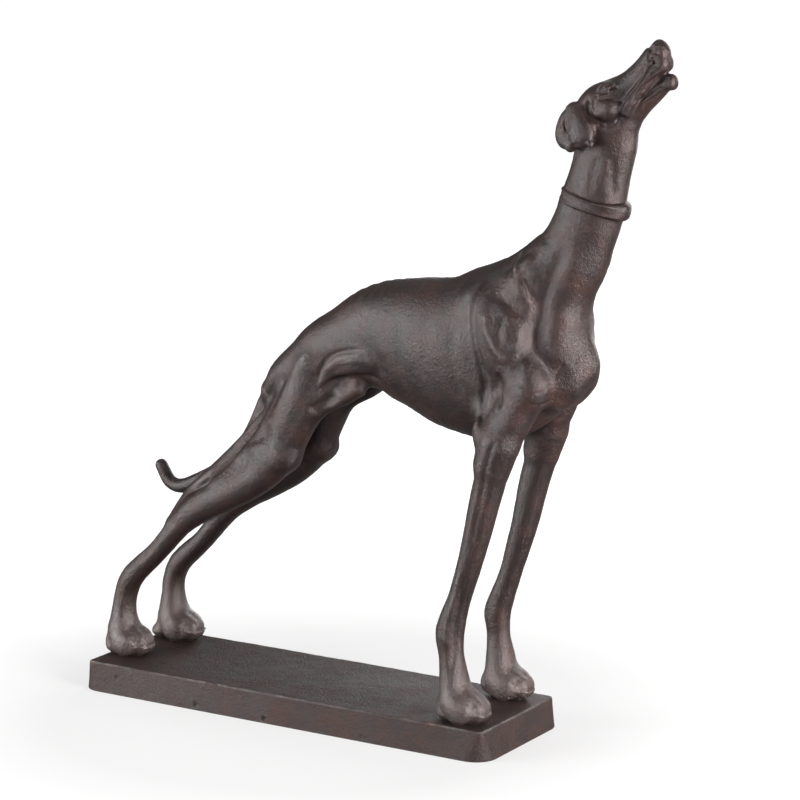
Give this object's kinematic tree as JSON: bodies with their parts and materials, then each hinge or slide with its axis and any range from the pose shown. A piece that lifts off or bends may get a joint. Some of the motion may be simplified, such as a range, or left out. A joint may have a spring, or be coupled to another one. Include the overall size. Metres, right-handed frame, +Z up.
{
  "type": "cast iron dog statue",
  "caption": "Lean standing hound with its nose lifted, a collar and a hanging tail, cast in dark iron on a flat rectangular plinth.",
  "frame": {"origin": "centre of the plinth's underside", "axes": "+X towards the hound's nose, +Y to its left, +Z up"},
  "size_m": [0.476, 0.116, 0.5127],
  "materials": {
    "hound_iron": "dark brown waxed cast iron, softly shiny, redder in the hollows",
    "plinth_iron": "dark brown waxed cast iron, duller than the hound, with small casting pits"
  },
  "bodies": {
    "root": {"hound": "hound_iron", "plinth": "plinth_iron"}
  },
  "joints": []
}
